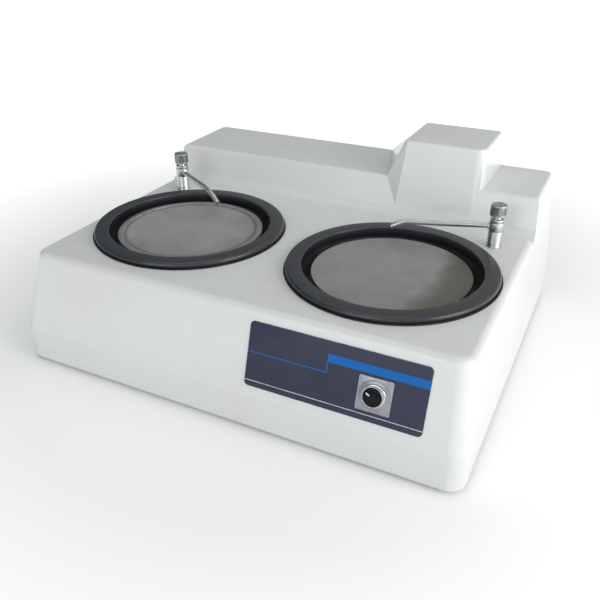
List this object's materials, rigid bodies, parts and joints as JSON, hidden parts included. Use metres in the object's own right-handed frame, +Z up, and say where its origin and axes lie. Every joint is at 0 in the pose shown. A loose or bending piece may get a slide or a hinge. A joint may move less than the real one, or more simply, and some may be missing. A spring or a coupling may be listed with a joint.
{
  "type": "metallographic polishing machine",
  "caption": "Bench grinder and polisher for metal samples: two driven discs in splash wells, swivel water taps, a rotary switch and a motor tower on one moulded casing.",
  "frame": {"origin": "on the floor at the middle of the footprint, rear fittings and switch knob included", "axes": "+X to the operator's right along the machine's width, +Y towards the back, +Z up"},
  "size_m": [0.7, 0.624, 0.2915],
  "materials": {
    "moulded_shell": "off-white satin gel-coated moulding",
    "frame_paint": "dark grey paint",
    "zinc_steel": "zinc-plated steel",
    "rubber": "black rubber",
    "nameplate_blue": "slate blue printed plate",
    "satin_steel": "satin",
    "chrome": "polished",
    "gloss_black": "gloss black",
    "black_plastic": "matt black",
    "bowl_black": "near black, damp",
    "ring_grey": "dark grey satin moulding",
    "cast_aluminium": "turned casting",
    "clamp_steel": "satin stainless",
    "cloth": "grey napless cloth",
    "abrasive": "grey abrasive grit on backing",
    "bright_steel": "ground",
    "cast_iron": "machined casting",
    "motor_paint": "blue-grey paint",
    "pipe_grey": "grey pipe",
    "knob_metal": "knurled, dulled plating",
    "brass": "plain",
    "hose_clear": "milky hose"
  },
  "bodies": {
    "machine": {"casing": "moulded_shell", "base_frame": "frame_paint", "drive_plate": "zinc_steel", "plate_posts": "zinc_steel", "casing_screws": "zinc_steel", "drive_screws": "zinc_steel", "foot_front_left": "rubber", "foot_front_right": "rubber", "foot_rear_left": "rubber", "foot_rear_right": "rubber", "nameplate": "nameplate_blue", "switch_plate": "satin_steel", "switch_bezel": "chrome", "switch_body": "black_plastic", "left_bowl": "bowl_black", "right_bowl": "bowl_black", "left_bearing_housing": "cast_iron", "right_bearing_housing": "cast_iron", "left_bearing_outer_rings": "bright_steel", "right_bearing_outer_rings": "bright_steel", "motor_body": "motor_paint", "motor_flange": "motor_paint", "motor_cowl": "motor_paint", "motor_terminal_box": "black_plastic", "left_belt": "rubber", "right_belt": "rubber", "left_drain_pipe": "pipe_grey", "right_drain_pipe": "pipe_grey", "left_tap_post": "chrome", "right_tap_post": "chrome", "tap_lock_nuts": "brass", "water_inlet": "brass", "left_water_hose": "hose_clear", "right_water_hose": "hose_clear", "cable_gland": "black_plastic"},
    "left_rotor": {"left_disc": "cast_aluminium", "left_clamp_ring": "clamp_steel", "left_polishing_cloth": "cloth", "left_slinger": "rubber", "left_spindle_shaft": "bright_steel", "left_bearing_inner_rings": "bright_steel", "left_bearing_balls": "bright_steel", "left_spindle_pulley": "cast_iron"},
    "right_rotor": {"right_disc": "cast_aluminium", "right_abrasive_sheet": "abrasive", "right_slinger": "rubber", "right_spindle_shaft": "bright_steel", "right_bearing_inner_rings": "bright_steel", "right_bearing_balls": "bright_steel", "right_spindle_pulley": "cast_iron"},
    "motor_rotor": {"motor_shaft": "bright_steel", "motor_fan": "black_plastic", "motor_pulley": "cast_iron"},
    "left_spout": {"left_tap_spout": "chrome"},
    "right_spout": {"right_tap_spout": "chrome"},
    "left_valve": {"left_tap_knob": "knob_metal"},
    "right_valve": {"right_tap_knob": "knob_metal"},
    "switch_handle": {"switch_knob": "gloss_black"},
    "left_ring": {"left_splash_ring": "ring_grey"},
    "right_ring": {"right_splash_ring": "ring_grey"}
  },
  "joints": [
    {"name": "left_disc_spin", "type": "hinge", "parent": "machine", "child": "left_rotor", "pos_m": [-0.17175, -0.0943, 0.17], "axis": [0, 0, 1], "continuous": true},
    {"name": "right_disc_spin", "type": "hinge", "parent": "machine", "child": "right_rotor", "pos_m": [0.17175, -0.0943, 0.17], "axis": [0, 0, 1], "continuous": true},
    {"name": "motor_spin", "type": "hinge", "parent": "machine", "child": "motor_rotor", "pos_m": [0.17175, 0.1983, 0], "axis": [0, 0, 1], "continuous": true},
    {"name": "left_tap_swivel", "type": "hinge", "parent": "machine", "child": "left_spout", "pos_m": [-0.2846, 0.05058, 0.2065], "axis": [0, 0, 1], "range_deg": [-80, 50]},
    {"name": "right_tap_swivel", "type": "hinge", "parent": "machine", "child": "right_spout", "pos_m": [0.2846, 0.05058, 0.2065], "axis": [0, 0, 1], "range_deg": [-30, 100]},
    {"name": "left_valve_turn", "type": "hinge", "parent": "machine", "child": "left_valve", "pos_m": [-0.2846, 0.05058, 0.2335], "axis": [0, 0, 1], "range_deg": [0, 360]},
    {"name": "right_valve_turn", "type": "hinge", "parent": "machine", "child": "right_valve", "pos_m": [0.2846, 0.05058, 0.2335], "axis": [0, 0, 1], "range_deg": [0, 360]},
    {"name": "switch_turn", "type": "hinge", "parent": "machine", "child": "switch_handle", "pos_m": [0.2272, -0.29702, 0.10661], "axis": [0, -0.9556, 0.2946], "range_deg": [0, 90]},
    {"name": "left_ring_lift", "type": "slide", "parent": "machine", "child": "left_ring", "axis": [0, 0, 1], "range_m": [0, 0.009]},
    {"name": "right_ring_lift", "type": "slide", "parent": "machine", "child": "right_ring", "axis": [0, 0, 1], "range_m": [0, 0.009]}
  ],
  "couplings": [
    {"joint": "right_disc_spin", "follows": "left_disc_spin", "ratio": 1.3346},
    {"joint": "motor_spin", "follows": "left_disc_spin", "ratio": 3.1128}
  ]
}
